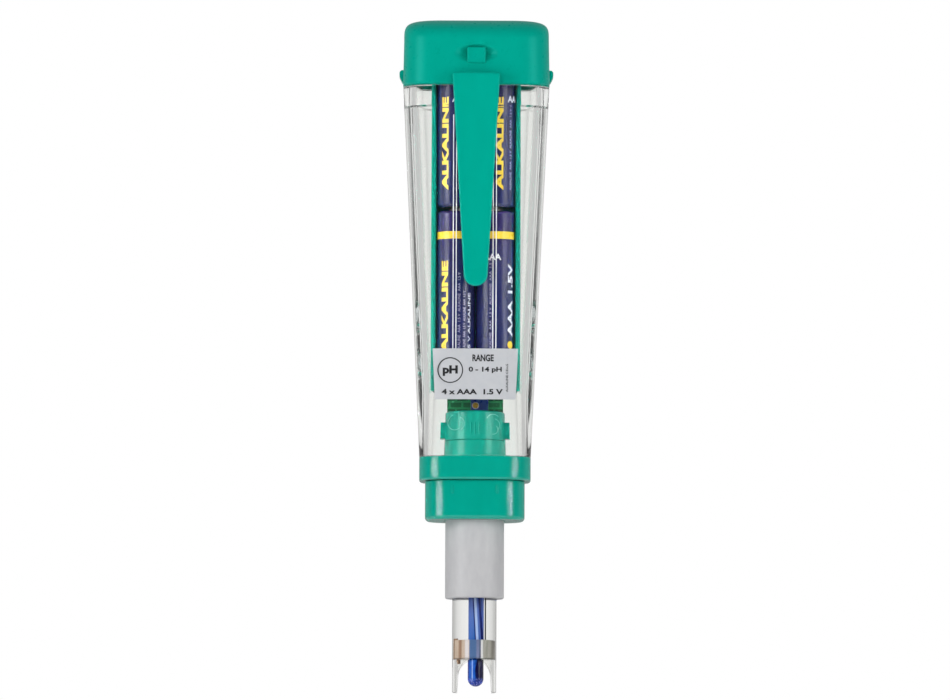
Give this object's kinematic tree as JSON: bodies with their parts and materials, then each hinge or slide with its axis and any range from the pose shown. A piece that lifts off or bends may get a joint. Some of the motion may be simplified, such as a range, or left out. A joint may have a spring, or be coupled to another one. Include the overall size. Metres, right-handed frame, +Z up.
{
  "type": "digital ph meter",
  "caption": "Upright pocket pH tester: clear tapered body over a cell carrier, pull-off cap with pocket clip, pull-off glass electrode with guard prongs.",
  "frame": {"origin": "on the electrode's axis, in the plane of the end block's underside, where the sleeve leaves it and a holder would carry the tester", "axes": "+Z up the tester's length, electrode down; -Y the back with clip, cells and label; +Y the front with display and keys; X the width"},
  "size_m": [0.042, 0.0329, 0.1829],
  "materials": {
    "clear_shell": "polished clear injection-moulded plastic",
    "clear_tube": "clear extruded plastic tube",
    "teal_gloss": "teal moulded plastic, glossy",
    "teal_inner": "teal moulded plastic, satin",
    "cell_wrap": "dark blue printed wrap on a steel can",
    "nickel": "nickel-plated spring steel",
    "zinc": "zinc-plated screw",
    "board": "green solder mask",
    "lcd": "grey-green reflective display glass",
    "zebra_rubber": "layered contact rubber",
    "chip": "moulded epoxy",
    "switch_black": "black switch housing",
    "trimmer_blue": "blue moulded plastic",
    "panel_film": "printed overlay film",
    "label_film": "silver-grey printed label",
    "dark_rubber": "black sealing rubber",
    "holder": "dark moulded plastic",
    "key_rubber": "pale key rubber",
    "brass": "machined brass",
    "gold": "gold-plated contact pin",
    "grey_sleeve": "satin light grey plastic",
    "tan_seal": "translucent tan potting",
    "stem_glass": "drawn glass tube",
    "bulb_glass": "blown sensing glass over blue filling",
    "blue_gel": "blue-dyed buffer gel",
    "dark_wire": "dark coated wire",
    "junction_ceramic": "porous fired ceramic"
  },
  "bodies": {
    "housing": {"body_shell": "clear_shell", "bottom_collar": "teal_gloss", "connector_socket": "teal_inner", "battery_carrier": "teal_inner", "cell_lower_left": "cell_wrap", "cell_lower_right": "cell_wrap", "cell_upper_left": "cell_wrap", "cell_upper_right": "cell_wrap", "negative_plate": "nickel", "negative_spring_left": "nickel", "negative_spring_right": "nickel", "main_pcb": "board", "pcb_screw_lower": "zinc", "pcb_screw_upper": "zinc", "lcd_glass": "lcd", "lcd_frame": "teal_inner", "zebra_strip_lower": "zebra_rubber", "zebra_strip_upper": "zebra_rubber", "mcu_chip": "chip", "amplifier_chip": "chip", "switch_power": "switch_black", "switch_cal": "switch_black", "switch_hold": "switch_black", "trimmer_body": "trimmer_blue", "positive_blade": "nickel", "front_panel": "panel_film", "rear_label": "label_film", "cap_gasket": "dark_rubber"},
    "cap": {"battery_cap": "teal_gloss", "cap_contact_holder": "holder", "positive_plate": "nickel"},
    "clip": {"pocket_clip": "teal_gloss"},
    "power_key": {"key_power": "key_rubber"},
    "cal_key": {"key_cal": "key_rubber"},
    "hold_key": {"key_hold": "key_rubber"},
    "trimmer": {"trimmer_screw": "brass"},
    "electrode": {"electrode_block": "teal_gloss", "electrode_o_ring": "dark_rubber", "contact_pin_left": "gold", "contact_pin_middle": "gold", "contact_pin_right": "gold", "electrode_sleeve": "grey_sleeve", "outer_tube": "clear_tube", "seal_plug": "tan_seal", "glass_stem": "stem_glass", "glass_bulb": "bulb_glass", "buffer_gel": "blue_gel", "inner_wire_signal": "dark_wire", "inner_wire_shield": "dark_wire", "reference_wire": "dark_wire", "reference_junction": "junction_ceramic"}
  },
  "joints": [
    {"name": "cap_pull", "type": "slide", "parent": "housing", "child": "cap", "axis": [0, 0, 1], "range_m": [0, 0.014]},
    {"name": "clip_flex", "type": "hinge", "parent": "cap", "child": "clip", "pos_m": [0, -0.01475, 0.1194], "axis": [-1, 0, 0], "range_deg": [0, 5], "stiffness_Nm_per_rad": 2.5},
    {"name": "power_press", "type": "slide", "parent": "housing", "child": "power_key", "axis": [0, -1, 0], "range_m": [0, 0.0006], "stiffness_N_per_m": 2500},
    {"name": "cal_press", "type": "slide", "parent": "housing", "child": "cal_key", "axis": [0, -1, 0], "range_m": [0, 0.0006], "stiffness_N_per_m": 2500},
    {"name": "hold_press", "type": "slide", "parent": "housing", "child": "hold_key", "axis": [0, -1, 0], "range_m": [0, 0.0006], "stiffness_N_per_m": 2500},
    {"name": "trimmer_turn", "type": "hinge", "parent": "housing", "child": "trimmer", "pos_m": [0.0001, 0.00065, 0.0316], "axis": [0, -1, 0], "range_deg": [-135, 135]},
    {"name": "electrode_pull", "type": "slide", "parent": "housing", "child": "electrode", "axis": [0, 0, -1], "range_m": [0, 0.03]}
  ]
}
